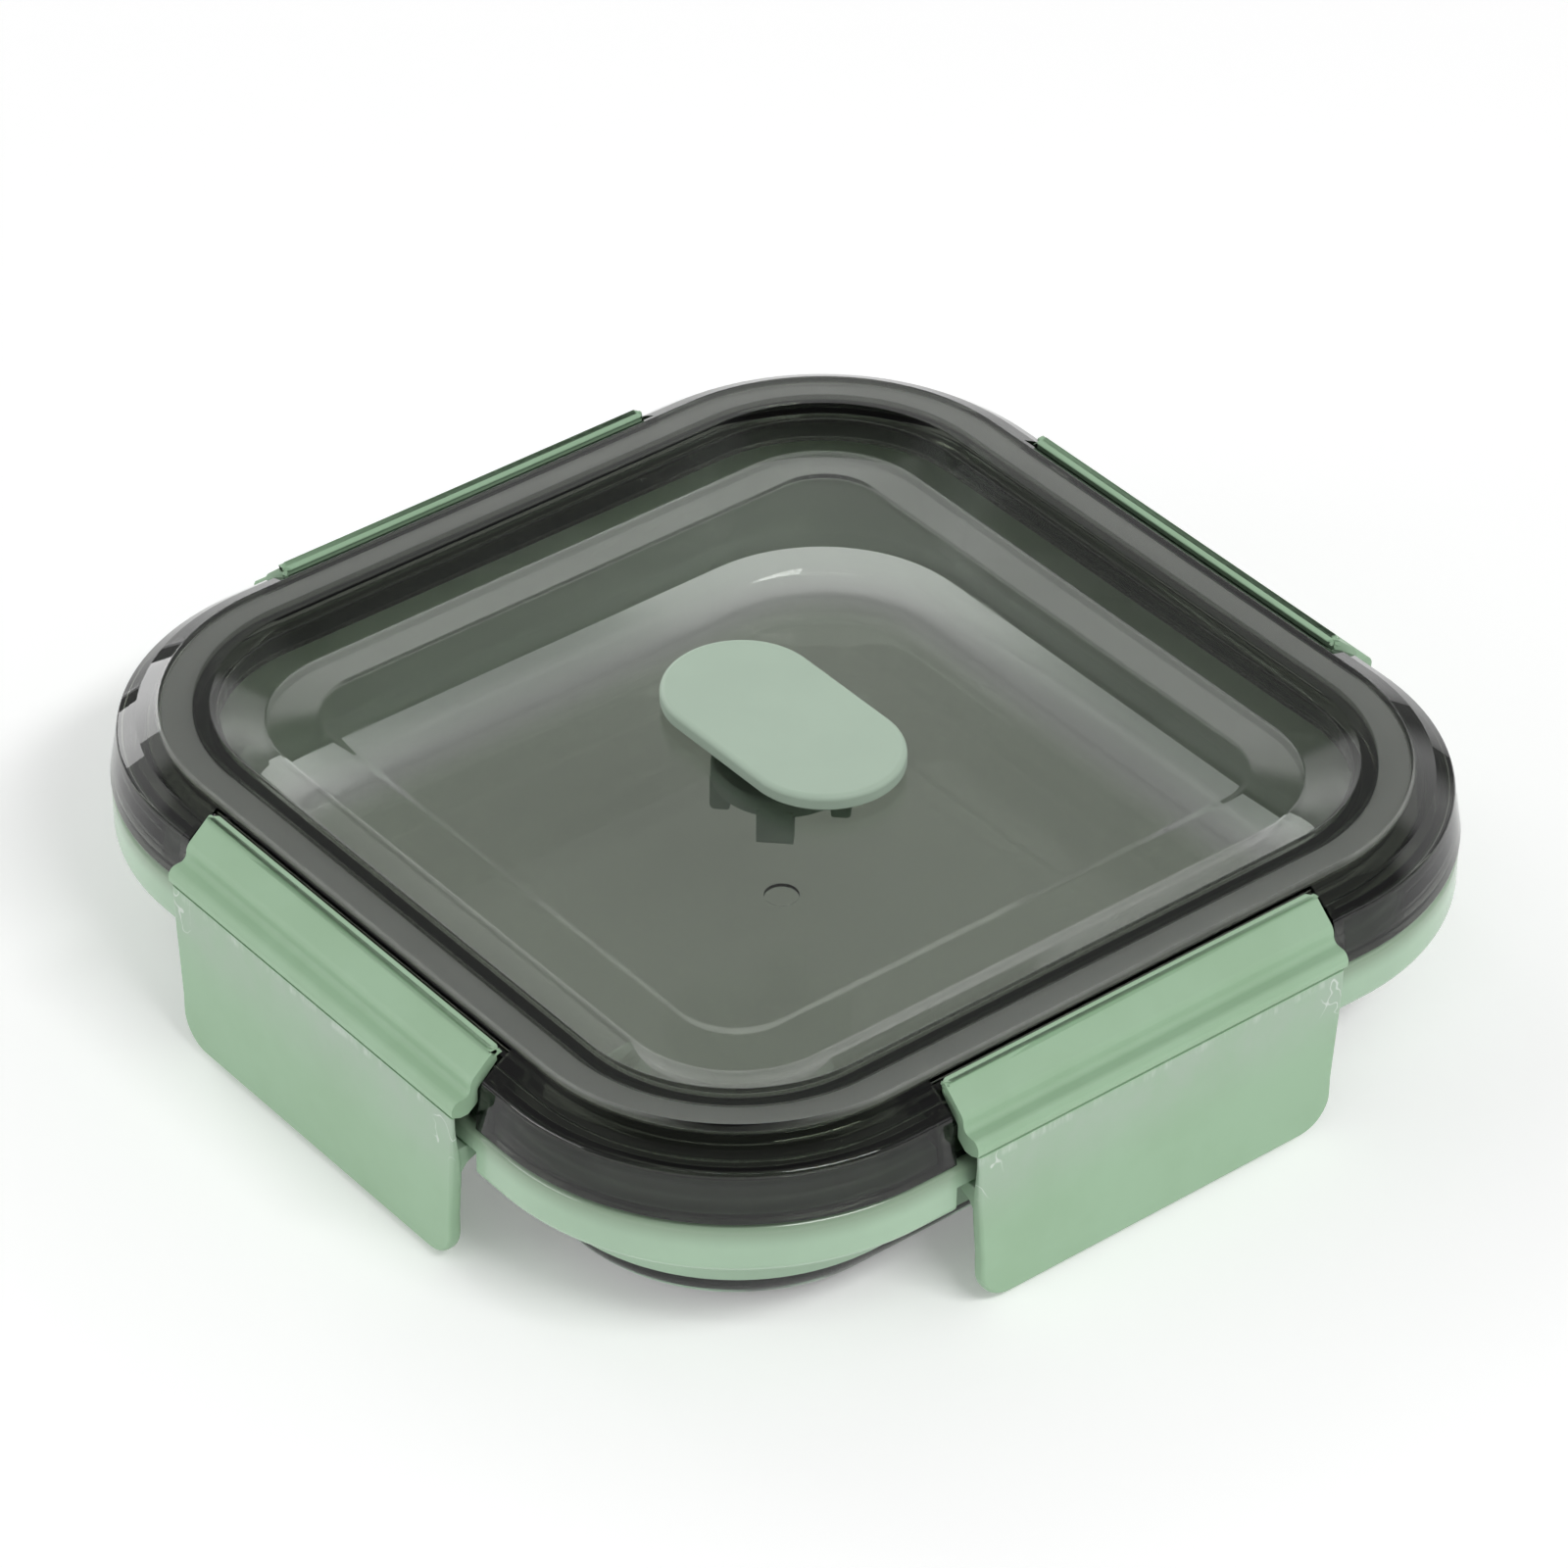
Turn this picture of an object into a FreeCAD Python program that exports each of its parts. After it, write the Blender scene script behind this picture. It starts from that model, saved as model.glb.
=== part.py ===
"""Square snap-lid food container: glass tray in a moulded sleeve, clear tinted lid with a seal ring,
four snap latches and a press-in vent plug. Millimetres, +Z up, origin at the centre of the base.

Every wall runs round a square with rounded corners. A section is drawn in the XZ plane, where X is the
distance of a wall from the centre line measured across a flat side, and is swept round the square.
All the corners turn about the same four centres, so a wall's corner radius is its X less CORNER.
"""
import FreeCAD, Part
import math
import os

import Sketcher
from FreeCAD import Placement, Rotation, Vector

# Driving dimensions. Names ending in _x are distances out from the centre line, _z are heights.
SIZES = {
    "nil": 0.0, "corner": 40.0, "spine_x": 70.0, "core_x": 46.0, "join_x": 47.0, "clear_x": 90.0,
    # glass tray
    "foot_inner_x": 52.0, "foot_lift_z": 0.8, "base_corner_x": 67.8, "base_radius": 7.2,
    "floor_z": 4.9, "floor_corner_x": 62.2, "floor_radius": 6.0, "rim_inner_x": 68.0,
    "rim_outer_x": 71.7, "rim_z": 31.2, "rim_radius": 1.7, "dimple_radius": 2.6, "dimple_depth": 0.5,
    # sleeve
    "hem_z": 7.2, "hem_x": 70.1, "hem_inner_x": 68.75, "wall_x": 72.6, "collar_low_z": 16.4,
    "collar_x": 79.5, "collar_inner_x": 77.3, "hollow_x": 73.0, "hollow_z": 21.8,
    "collar_top_z": 24.5, "upstand_x": 76.2, "upstand_z": 27.0, "upstand_inner_x": 71.25,
    "collar_low_radius": 1.9, "collar_top_radius": 1.2,
    "catch_z": 21.0, "catch_half": 33.8, "catch_cut_x": 77.0, "catch_cut_low_z": 15.0,
    # lid
    "lid_z": 36.4, "panel_x": 49.5, "panel_z": 34.2, "panel_under_z": 32.2, "moat_x": 57.3,
    "moat_z": 33.0, "moat_under_z": 31.0, "ring_inner_x": 65.0, "ring_x": 72.3, "shoulder_x": 75.6,
    "shoulder_z": 34.6, "flange_x": 78.4, "flange_z": 32.5, "skirt_x": 79.7, "skirt_z": 24.9,
    "skirt_inner_x": 77.0, "cavity_x": 75.1, "cavity_z": 31.3, "rib_z": 29.3, "rib_x": 67.2,
    "channel_z": 34.4, "slope_under_z": 33.6, "flange_radius": 0.8,
    # pocket in the lid for each latch clip
    "pocket_half": 34.0, "pocket_x": 73.45, "pocket_z": 34.7, "pocket_step_x": 74.5,
    "pocket_step_z": 34.4, "pocket_low_x": 78.0, "pocket_low_z": 31.3, "pocket_wall_x": 78.3,
    "pocket_wall_z": 30.7, "pocket_end_z": 24.0, "pocket_clear_z": 40.0,
    "end_wall_half": 36.0, "end_wall_x": 74.9, "end_wall_outer_x": 77.2, "end_wall_top_z": 31.4,
    "end_wall_step_x": 76.6, "end_wall_z": 27.6,
    # seal ring
    "seal_inner_x": 67.4, "seal_x": 72.1, "seal_z": 31.35, "seal_top_z": 34.3, "seal_radius": 0.6,
    # latch clip
    "latch_half": 33.0, "clip_x": 75.1, "clip_z": 36.4, "clip_under_z": 34.15, "clip_turn_x": 79.5,
    "clip_turn_z": 32.5, "groove_x": 79.75, "groove_z": 30.3, "bead_top_x": 82.2,
    "bead_top_z": 30.1, "bead_x": 82.8, "bead_turn_z": 29.2, "bead_low_z": 28.1,
    "bead_tip_x": 82.4, "bead_tip_z": 27.75, "clip_low_x": 81.35, "clip_low_z": 27.3,
    "clip_foot_x": 80.1, "clip_inner_x": 78.45, "clip_inner_z": 28.6,
    "clip_bend_z": 30.8, "clip_slope_x": 78.1, "clip_slope_z": 31.45,
    # latch flap and its hinge line
    "hinge_x": 82.0, "hinge_z": 26.85, "knuckle_radius": 0.55, "flap_half": 32.9,
    "flap_x": 82.55, "flap_thin_x": 81.75, "flap_thin_z": 25.4, "flap_inner_x": 80.4,
    "flap_inner_z": 17.0, "flap_low_z": 1.0, "flap_corner": 8.0, "flap_edge": 0.6,
    "hook_half": 31.5, "hook_x": 77.5, "hook_z": 20.4, "hook_low_z": 18.0,
    "hook_root_z": 17.0, "hook_root_x": 81.2,
    # vent plug
    "cap_centre": 9.3, "cap_radius": 11.7, "cap_z": 35.3, "cap_thick": 2.4, "cap_edge": 0.9,
    "boss_centre": 4.5, "boss_radius": 8.5, "boss_z": 34.35, "boss_thick": 1.2,
    "stem_radius": 6.5, "hole_radius": 6.85, "foot_radius": 10.2, "foot_z": 26.2, "foot_top_z": 29.3,
    "prong_in": 5.1, "prong_out": 7.1, "prong_off": 1.85, "prong_z": 21.4,
}

SIDES = {"right": 0, "back": 90, "left": 180, "front": 270}
NEAR = 0.01


def add_sheet(doc):
    """Spreadsheet that holds every driving dimension as a plain number with an alias."""
    sheet = doc.addObject("Spreadsheet::Sheet", "Sizes")
    for row, (alias, value) in enumerate(SIZES.items(), start=1):
        sheet.set(f"A{row}", alias)
        sheet.set(f"B{row}", str(value))
        sheet.setAlias(f"B{row}", alias)
    doc.recompute()
    return sheet


def amount(terms):
    """Value of a sum of named sizes, such as 'lid_z - panel_z'."""
    total, sign = 0.0, 1.0
    for word in terms.split():
        if word in "+-":
            sign = 1.0 if word == "+" else -1.0
        else:
            total += sign * SIZES[word]
    return total


def formula(terms):
    """The same sum as an expression on the sheet's cells."""
    words = [word if word in "+-" else f"Sizes.{word}" for word in terms.split()]
    return " ".join(words)


def bind_distance(sketch, kind, first, second, terms):
    """Horizontal or vertical distance between two sketch points, driven by the sheet."""
    index = sketch.addConstraint(Sketcher.Constraint(kind, *first, *second, amount(terms)))
    sketch.setExpression(f"Constraints[{index}]", formula(terms))


def start_sketch(body, name, plane, height=None):
    """Empty sketch on one of the body's own origin planes, raised by a named height if one is given."""
    sketch = body.newObject("Sketcher::SketchObject", name)
    support = next(f for f in body.Origin.OriginFeatures if f.Role == plane)
    sketch.AttachmentSupport = [(support, "")]
    sketch.MapMode = "FlatFace"
    if height:
        sketch.AttachmentOffset = Placement(Vector(0, 0, amount(height)), Rotation())
        sketch.setExpression("AttachmentOffset.Base.z", formula(height))
    return sketch


def draw_outline(body, name, plane, points, height=None):
    """Closed outline of straight lines through points whose coordinates are sums of named sizes."""
    sketch = start_sketch(body, name, plane, height)
    places = [Vector(amount(x), amount(z), 0) for x, z in points]
    count = len(points)
    for index in range(count):
        sketch.addGeometry(Part.LineSegment(places[index], places[(index + 1) % count]), False)
    for index in range(count):
        sketch.addConstraint(Sketcher.Constraint("Coincident", index, 2, (index + 1) % count, 1))
    for index, (across, up) in enumerate(points):
        bind_distance(sketch, "DistanceX", (-1, 1), (index, 1), across)
        bind_distance(sketch, "DistanceY", (-1, 1), (index, 1), up)
    return sketch


def draw_square(body, name, half, height=None):
    """Square with rounded corners whose corner arcs turn about the shared corner centres."""
    sketch = start_sketch(body, name, "XY_Plane", height)
    reach, centre = amount(half), SIZES["corner"]
    radius = reach - centre
    turns = ((1, 1), (-1, 1), (-1, -1), (1, -1))
    for index, (sx, sy) in enumerate(turns):
        begin = math.radians(90 * index)
        circle = Part.Circle(Vector(sx * centre, sy * centre, 0), Vector(0, 0, 1), radius)
        sketch.addGeometry(Part.ArcOfCircle(circle, begin, begin + math.pi / 2), False)
        ends = [Vector(reach * math.cos(begin), reach * math.sin(begin), 0)]
        along = Vector(-math.sin(begin), math.cos(begin), 0) * centre
        sketch.addGeometry(Part.LineSegment(ends[0] - along, ends[0] + along), False)
    for index, (sx, sy) in enumerate(turns):
        arc, line, next_line = 2 * index, 2 * index + 1, (2 * index + 3) % 8
        for kind, sign in (("DistanceX", sx), ("DistanceY", sy)):
            place = sketch.addConstraint(Sketcher.Constraint(kind, -1, 1, arc, 3, sign * centre))
            sketch.setExpression(f"Constraints[{place}]", f"{sign} * Sizes.corner")
        size = sketch.addConstraint(Sketcher.Constraint("Radius", arc, radius))
        sketch.setExpression(f"Constraints[{size}]", formula(f"{half} - corner"))
        first, last = ("Horizontal", "Vertical") if index % 2 == 0 else ("Vertical", "Horizontal")
        sketch.addConstraint(Sketcher.Constraint(first, arc, 3, arc, 1))
        sketch.addConstraint(Sketcher.Constraint(last, arc, 3, arc, 2))
        sketch.addConstraint(Sketcher.Constraint("Coincident", line, 2, arc, 1))
        sketch.addConstraint(Sketcher.Constraint("Coincident", arc, 2, next_line, 1))
    return sketch


def sweep_round(body, name, points, cut=False):
    """Section swept round the rounded square."""
    section = draw_outline(body, f"{name}_section", "XZ_Plane", points)
    path = draw_square(body, f"{name}_path", "spine_x")
    kind = "PartDesign::SubtractivePipe" if cut else "PartDesign::AdditivePipe"
    pipe = body.newObject(kind, name)
    pipe.Profile = section
    pipe.Spine = (path, [])
    body.Document.recompute()
    return pipe


def half_size(point):
    """Distance out from the centre line of the rounded square that passes through a point."""
    centre = SIZES["corner"]
    return centre + math.hypot(max(abs(point.x) - centre, 0), max(abs(point.y) - centre, 0))


def pick_edges(shape, test):
    """Names of the edges whose start, middle and end all pass a test."""
    names = []
    for index, edge in enumerate(shape.Edges, start=1):
        first, last = edge.FirstParameter, edge.LastParameter
        points = [edge.valueAt(first + share * (last - first)) for share in (0.0, 0.5, 1.0)]
        if all(test(point) for point in points):
            names.append(f"Edge{index}")
    return names


def edges_at(shape, places):
    """Names of the edges that lie on any of the given rings, each a pair of half size and height."""
    names = []
    for across, up in places:
        names += pick_edges(shape, lambda p: abs(half_size(p) - amount(across)) < NEAR
                            and abs(p.z - amount(up)) < NEAR)
    return names


def round_edges(body, base, name, radius, names):
    """Fillet on the named edges of a feature."""
    fillet = body.newObject("PartDesign::Fillet", name)
    fillet.Base = (base, names)
    fillet.Radius = amount(radius)
    fillet.setExpression("Radius", formula(radius))
    body.Document.recompute()
    return fillet


def raise_pad(body, sketch, name, terms, middle=False, cut=False):
    """Sketch raised, or cut away, over a length given as a sum of named sizes."""
    feature = body.newObject("PartDesign::Pocket" if cut else "PartDesign::Pad", name)
    feature.Profile = sketch
    feature.Midplane = middle
    feature.Length = amount(terms)
    feature.setExpression("Length", formula(terms))
    body.Document.recompute()
    return feature


def repeat_sides(body, feature, name):
    """The same cut on all four sides of the square."""
    pattern = body.newObject("PartDesign::PolarPattern", name)
    pattern.Originals = [feature]
    axis = next(f for f in body.Origin.OriginFeatures if f.Role == "Z_Axis")
    pattern.Axis = (axis, [""])
    pattern.Angle = 360
    pattern.Occurrences = len(SIDES)
    body.Tip = pattern
    body.Document.recompute()
    return pattern


def draw_stadium(body, name, centre, radius, height):
    """Two half circles along X joined by straight sides."""
    sketch = start_sketch(body, name, "XY_Plane", height)
    reach, size = amount(centre), amount(radius)
    for sign, begin in ((1, -math.pi / 2), (-1, math.pi / 2)):
        circle = Part.Circle(Vector(sign * reach, 0, 0), Vector(0, 0, 1), size)
        sketch.addGeometry(Part.ArcOfCircle(circle, begin, begin + math.pi), False)
    sketch.addGeometry(Part.LineSegment(Vector(reach, size, 0), Vector(-reach, size, 0)), False)
    sketch.addGeometry(Part.LineSegment(Vector(-reach, -size, 0), Vector(reach, -size, 0)), False)
    for arc, sign in ((0, 1), (1, -1)):
        place = sketch.addConstraint(Sketcher.Constraint("DistanceX", -1, 1, arc, 3, sign * reach))
        sketch.setExpression(f"Constraints[{place}]", f"{sign} * {formula(centre)}")
        sketch.addConstraint(Sketcher.Constraint("PointOnObject", arc, 3, -1))
        width = sketch.addConstraint(Sketcher.Constraint("Radius", arc, size))
        sketch.setExpression(f"Constraints[{width}]", formula(radius))
        sketch.addConstraint(Sketcher.Constraint("Vertical", arc, 3, arc, 1))
        sketch.addConstraint(Sketcher.Constraint("Vertical", arc, 3, arc, 2))
    for first, last in (((0, 2), (2, 1)), ((2, 2), (1, 1)), ((1, 2), (3, 1)), ((3, 2), (0, 1))):
        sketch.addConstraint(Sketcher.Constraint("Coincident", *first, *last))
    return sketch


def draw_circle(body, name, plane, across, up, radius, height=None):
    """Circle whose centre and radius come from the sheet."""
    sketch = start_sketch(body, name, plane, height)
    centre = Vector(amount(across), amount(up), 0)
    sketch.addGeometry(Part.Circle(centre, Vector(0, 0, 1), amount(radius)), False)
    bind_distance(sketch, "DistanceX", (-1, 1), (0, 3), across)
    bind_distance(sketch, "DistanceY", (-1, 1), (0, 3), up)
    size = sketch.addConstraint(Sketcher.Constraint("Radius", 0, amount(radius)))
    sketch.setExpression(f"Constraints[{size}]", formula(radius))
    return sketch


def add_body(doc, label):
    """Empty body that will become one sub-part."""
    body = doc.addObject("PartDesign::Body", label)
    body.Label = label
    return body


def make_tray(doc):
    """Pressed glass tray: flat foot ring, rounded base and floor corners, leaning walls, round rim."""
    body = add_body(doc, "glass_tray")
    wall = sweep_round(body, "tray_wall", [
        ("core_x", "foot_lift_z"), ("foot_inner_x", "foot_lift_z"), ("foot_inner_x", "nil"),
        ("base_corner_x", "nil"), ("rim_outer_x", "rim_z"), ("rim_inner_x", "rim_z"),
        ("floor_corner_x", "floor_z"), ("core_x", "floor_z"),
    ])
    rounds = (
        ("base_round", "base_radius", [("base_corner_x", "nil")]),
        ("floor_round", "floor_radius", [("floor_corner_x", "floor_z")]),
        ("rim_round", "rim_radius", [("rim_outer_x", "rim_z"), ("rim_inner_x", "rim_z")]),
    )
    for name, radius, places in rounds:
        wall = round_edges(body, wall, name, radius, edges_at(wall.Shape, places))
    floor = draw_square(body, "tray_floor_outline", "join_x", "foot_lift_z")
    raise_pad(body, floor, "tray_floor", "floor_z - foot_lift_z")
    dimple = draw_circle(body, "dimple_outline", "XY_Plane", "nil", "nil", "dimple_radius", "floor_z")
    raise_pad(body, dimple, "dimple", "dimple_depth", cut=True)
    return body


def make_sleeve(doc):
    """Moulded sleeve round the glass: thin wall, folded collar and a catch edge on each side."""
    body = add_body(doc, "sleeve")
    wall = sweep_round(body, "sleeve_wall", [
        ("hem_inner_x", "hem_z"), ("hem_x", "hem_z"), ("wall_x", "collar_low_z"),
        ("hollow_x", "hollow_z"), ("collar_inner_x", "hollow_z"),
        ("collar_inner_x", "collar_low_z"), ("collar_x", "collar_low_z"),
        ("collar_x", "collar_top_z"), ("upstand_x", "collar_top_z"), ("upstand_x", "upstand_z"),
        ("upstand_inner_x", "upstand_z"),
    ])
    low = edges_at(wall.Shape, [("collar_x", "collar_low_z")])
    wall = round_edges(body, wall, "collar_low_round", "collar_low_radius", low)
    top = edges_at(wall.Shape, [("collar_x", "collar_top_z")])
    round_edges(body, wall, "collar_top_round", "collar_top_radius", top)
    catch = draw_outline(body, "catch_outline", "XZ_Plane", [
        ("catch_cut_x", "catch_cut_low_z"), ("clear_x", "catch_cut_low_z"),
        ("clear_x", "catch_z"), ("catch_cut_x", "catch_z"),
    ])
    cut = raise_pad(body, catch, "catch", "catch_half + catch_half", middle=True, cut=True)
    repeat_sides(body, cut, "catches")
    return body


def make_lid(doc):
    """Lid shell: flat panel, shallow moat, raised ring with a channel for the seal, flange, skirt."""
    body = add_body(doc, "lid_shell")
    shell = sweep_round(body, "lid_section", [
        ("core_x", "panel_z"), ("panel_x", "panel_z"), ("moat_x", "moat_z"),
        ("ring_inner_x", "lid_z"), ("ring_x", "lid_z"), ("shoulder_x", "shoulder_z"),
        ("flange_x", "flange_z"), ("skirt_x", "skirt_z"), ("skirt_inner_x", "skirt_z"),
        ("skirt_inner_x", "cavity_z"), ("cavity_x", "cavity_z"), ("cavity_x", "rib_z"),
        ("ring_x", "rib_z"), ("ring_x", "channel_z"), ("rib_x", "channel_z"), ("rib_x", "rib_z"),
        ("ring_inner_x", "rib_z"), ("ring_inner_x", "slope_under_z"), ("moat_x", "moat_under_z"),
        ("panel_x", "panel_under_z"), ("core_x", "panel_under_z"),
    ])
    edge = edges_at(shell.Shape, [("flange_x", "flange_z")])
    round_edges(body, shell, "flange_round", "flange_radius", edge)
    panel = draw_square(body, "panel_outline", "join_x", "panel_under_z")
    raise_pad(body, panel, "panel", "panel_z - panel_under_z")
    hole = draw_circle(body, "vent_outline", "XY_Plane", "nil", "nil", "hole_radius", "panel_z")
    raise_pad(body, hole, "vent_hole", "panel_z - moat_under_z", cut=True)
    filling = draw_outline(body, "end_wall_outline", "XZ_Plane", [
        ("end_wall_x", "end_wall_top_z"), ("end_wall_outer_x", "end_wall_top_z"),
        ("end_wall_outer_x", "skirt_z"), ("end_wall_step_x", "skirt_z"),
        ("end_wall_step_x", "end_wall_z"), ("end_wall_x", "end_wall_z"),
    ])
    walls = raise_pad(body, filling, "end_wall", "end_wall_half + end_wall_half", middle=True)
    repeat_sides(body, walls, "end_walls")
    hollow = draw_outline(body, "hollow_outline", "XZ_Plane", [
        ("cavity_x", "cavity_z"), ("skirt_inner_x", "cavity_z"), ("skirt_inner_x", "pocket_end_z"),
        ("cavity_x", "pocket_end_z"),
    ])
    cut = raise_pad(body, hollow, "hollow", "pocket_half + pocket_half", middle=True, cut=True)
    repeat_sides(body, cut, "hollows")
    pocket = draw_outline(body, "pocket_outline", "XZ_Plane", [
        ("pocket_x", "pocket_clear_z"), ("pocket_x", "pocket_z"),
        ("pocket_step_x", "pocket_step_z"), ("pocket_low_x", "pocket_low_z"),
        ("pocket_wall_x", "pocket_wall_z"), ("pocket_wall_x", "pocket_end_z"),
        ("clear_x", "pocket_end_z"), ("clear_x", "pocket_clear_z"),
    ])
    cut = raise_pad(body, pocket, "pocket", "pocket_half + pocket_half", middle=True, cut=True)
    repeat_sides(body, cut, "pockets")
    return body


def make_seal(doc):
    """Silicone ring in the lid's channel, standing on the glass rim."""
    body = add_body(doc, "seal_ring")
    ring = sweep_round(body, "seal_section", [
        ("seal_inner_x", "seal_z"), ("seal_x", "seal_z"), ("seal_x", "seal_top_z"),
        ("seal_inner_x", "seal_top_z"),
    ])
    low = edges_at(ring.Shape, [("seal_inner_x", "seal_z"), ("seal_x", "seal_z")])
    round_edges(body, ring, "seal_round", "seal_radius", low)
    return body


def turn_body(body, angle):
    """Place a latch part, drawn on the +X side, on another side."""
    body.Placement = Placement(Vector(), Rotation(Vector(0, 0, 1), angle))


def make_clip(doc, side, angle):
    """Upper half of a latch: a bent strip that lies in the lid's pocket and ends in a bead."""
    body = add_body(doc, f"{side}_latch_clip")
    outline = draw_outline(body, f"{side}_clip_outline", "XZ_Plane", [
        ("clip_x", "clip_z"), ("clip_turn_x", "clip_turn_z"), ("groove_x", "groove_z"),
        ("bead_top_x", "bead_top_z"), ("bead_x", "bead_turn_z"), ("bead_x", "bead_low_z"),
        ("bead_tip_x", "bead_tip_z"), ("clip_low_x", "clip_low_z"), ("clip_foot_x", "clip_low_z"),
        ("clip_inner_x", "clip_inner_z"), ("clip_inner_x", "clip_bend_z"),
        ("clip_slope_x", "clip_slope_z"), ("clip_x", "clip_under_z"),
    ])
    raise_pad(body, outline, f"{side}_clip", "latch_half + latch_half", middle=True)
    turn_body(body, angle)
    return body


def make_flap(doc, side, angle):
    """Lower half of a latch: a flat flap with a round top edge on the hinge line and a long hook."""
    body = add_body(doc, f"{side}_latch_flap")
    plate = draw_outline(body, f"{side}_flap_outline", "XZ_Plane", [
        ("flap_x", "hinge_z"), ("flap_x", "flap_low_z"), ("flap_inner_x", "flap_low_z"),
        ("flap_inner_x", "flap_inner_z"), ("flap_thin_x", "flap_thin_z"),
        ("flap_thin_x", "hinge_z"),
    ])
    pad = raise_pad(body, plate, f"{side}_flap", "flap_half + flap_half", middle=True)
    corners = pick_edges(pad.Shape, lambda p: abs(p.z - SIZES["flap_low_z"]) < NEAR
                         and abs(abs(p.y) - SIZES["flap_half"]) < NEAR)
    pad = round_edges(body, pad, f"{side}_flap_corners", "flap_corner", corners)
    border = pick_edges(pad.Shape, lambda p: abs(p.x - SIZES["flap_x"]) < NEAR
                        and p.z < SIZES["hinge_z"] + NEAR)
    top = pick_edges(pad.Shape, lambda p: abs(p.z - SIZES["hinge_z"]) < NEAR)
    border = [name for name in border if name not in top]
    round_edges(body, pad, f"{side}_flap_border", "flap_edge", border)
    knuckle = draw_circle(body, f"{side}_knuckle_outline", "XZ_Plane", "hinge_x", "hinge_z",
                          "knuckle_radius")
    raise_pad(body, knuckle, f"{side}_knuckle", "flap_half + flap_half - flap_edge", middle=True)
    hook = draw_outline(body, f"{side}_hook_outline", "XZ_Plane", [
        ("hook_root_x", "hook_z"), ("hook_x", "hook_z"), ("hook_x", "hook_low_z"),
        ("hook_root_x", "hook_root_z"),
    ])
    raise_pad(body, hook, f"{side}_hook", "hook_half + hook_half", middle=True)
    turn_body(body, angle)
    return body


def make_vent(doc):
    """Silicone vent plug: rounded cap, sealing boss, stem through the lid, round foot and prongs."""
    body = add_body(doc, "vent_plug")
    cap = raise_pad(body, draw_stadium(body, "cap_outline", "cap_centre", "cap_radius", "cap_z"),
                    "cap", "cap_thick")
    upper = pick_edges(cap.Shape, lambda p: abs(p.z - amount("cap_z + cap_thick")) < NEAR)
    round_edges(body, cap, "cap_round", "cap_edge", upper)
    boss = draw_stadium(body, "boss_outline", "boss_centre", "boss_radius", "boss_z")
    raise_pad(body, boss, "boss", "boss_thick")
    stem = draw_circle(body, "stem_outline", "XY_Plane", "nil", "nil", "stem_radius", "foot_z")
    raise_pad(body, stem, "stem", "boss_z - foot_z + boss_thick")
    foot = draw_circle(body, "foot_outline", "XY_Plane", "nil", "nil", "foot_radius", "foot_z")
    raise_pad(body, foot, "foot", "foot_top_z - foot_z")
    prong = draw_outline(body, "prong_outline", "XY_Plane", [
        ("prong_in - prong_off", "prong_in + prong_off"),
        ("prong_in + prong_off", "prong_in - prong_off"),
        ("prong_out + prong_off", "prong_out - prong_off"),
        ("prong_out - prong_off", "prong_out + prong_off"),
    ], "prong_z")
    pad = raise_pad(body, prong, "prong", "foot_top_z - prong_z")
    repeat_sides(body, pad, "prongs")
    doc.recompute()
    return body


def check_objects(doc):
    """Stop if any object failed to build."""
    for item in doc.Objects:
        if "Invalid" in item.State or "Error" in item.State:
            raise RuntimeError(f"{item.Label} failed to build: {item.State}")


def main():
    """Build the whole container and write each sub-part to its own STEP file."""
    doc = FreeCAD.newDocument("food_container")
    add_sheet(doc)
    bodies = [make_tray(doc), make_sleeve(doc), make_lid(doc), make_seal(doc), make_vent(doc)]
    for side, angle in SIDES.items():
        bodies += [make_clip(doc, side, angle), make_flap(doc, side, angle)]
    doc.recompute()
    check_objects(doc)
    for body in bodies:
        shape = body.Shape
        if shape.isNull() or not shape.isValid() or len(shape.Solids) != 1:
            raise RuntimeError(f"{body.Label} is not one valid solid")
    os.makedirs("parts", exist_ok=True)
    for body in bodies:
        body.Shape.exportStep(f"parts/{body.Label}.step")
        print(body.Label, round(body.Shape.Volume, 1), body.Shape.BoundBox)


main()
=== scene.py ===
"""Square glass food container: tray, sleeve, smoky lid, seal, four latches and vent plug."""

import logging
import math
from dataclasses import dataclass, field
from enum import Enum
from typing import Any, Callable, Iterable, Optional, Sequence

import bmesh
import bpy
from mathutils import Matrix, Vector


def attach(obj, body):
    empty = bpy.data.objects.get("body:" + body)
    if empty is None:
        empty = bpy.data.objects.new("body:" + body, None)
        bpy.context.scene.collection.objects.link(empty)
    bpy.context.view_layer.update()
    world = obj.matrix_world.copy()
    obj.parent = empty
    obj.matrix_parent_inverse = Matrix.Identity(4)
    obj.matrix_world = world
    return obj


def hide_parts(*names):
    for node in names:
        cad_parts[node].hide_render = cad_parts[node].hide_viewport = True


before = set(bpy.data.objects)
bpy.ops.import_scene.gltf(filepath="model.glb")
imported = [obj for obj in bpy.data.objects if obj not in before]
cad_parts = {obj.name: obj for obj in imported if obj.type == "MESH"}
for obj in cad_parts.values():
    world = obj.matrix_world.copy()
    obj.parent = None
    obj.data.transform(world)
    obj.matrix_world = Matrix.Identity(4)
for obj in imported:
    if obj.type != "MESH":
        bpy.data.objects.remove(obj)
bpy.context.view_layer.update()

MM = 0.001
CORNER = 40.0
NEAR = 0.02
Colour = tuple[float, float, float]
log = logging.getLogger("food_container")


class Side(Enum):
    """The four sides of the square, each with its turn about the upright axis in degrees."""

    RIGHT = 0
    BACK = 90
    LEFT = 180
    FRONT = 270

    @property
    def word(self) -> str:
        """Lower-case name, as the latch parts use it."""
        return self.name.lower()

    def turn(self) -> Matrix:
        """Rotation from the right side to this one."""
        return Matrix.Rotation(math.radians(self.value), 3, "Z")


# --- shader maths ---


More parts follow.
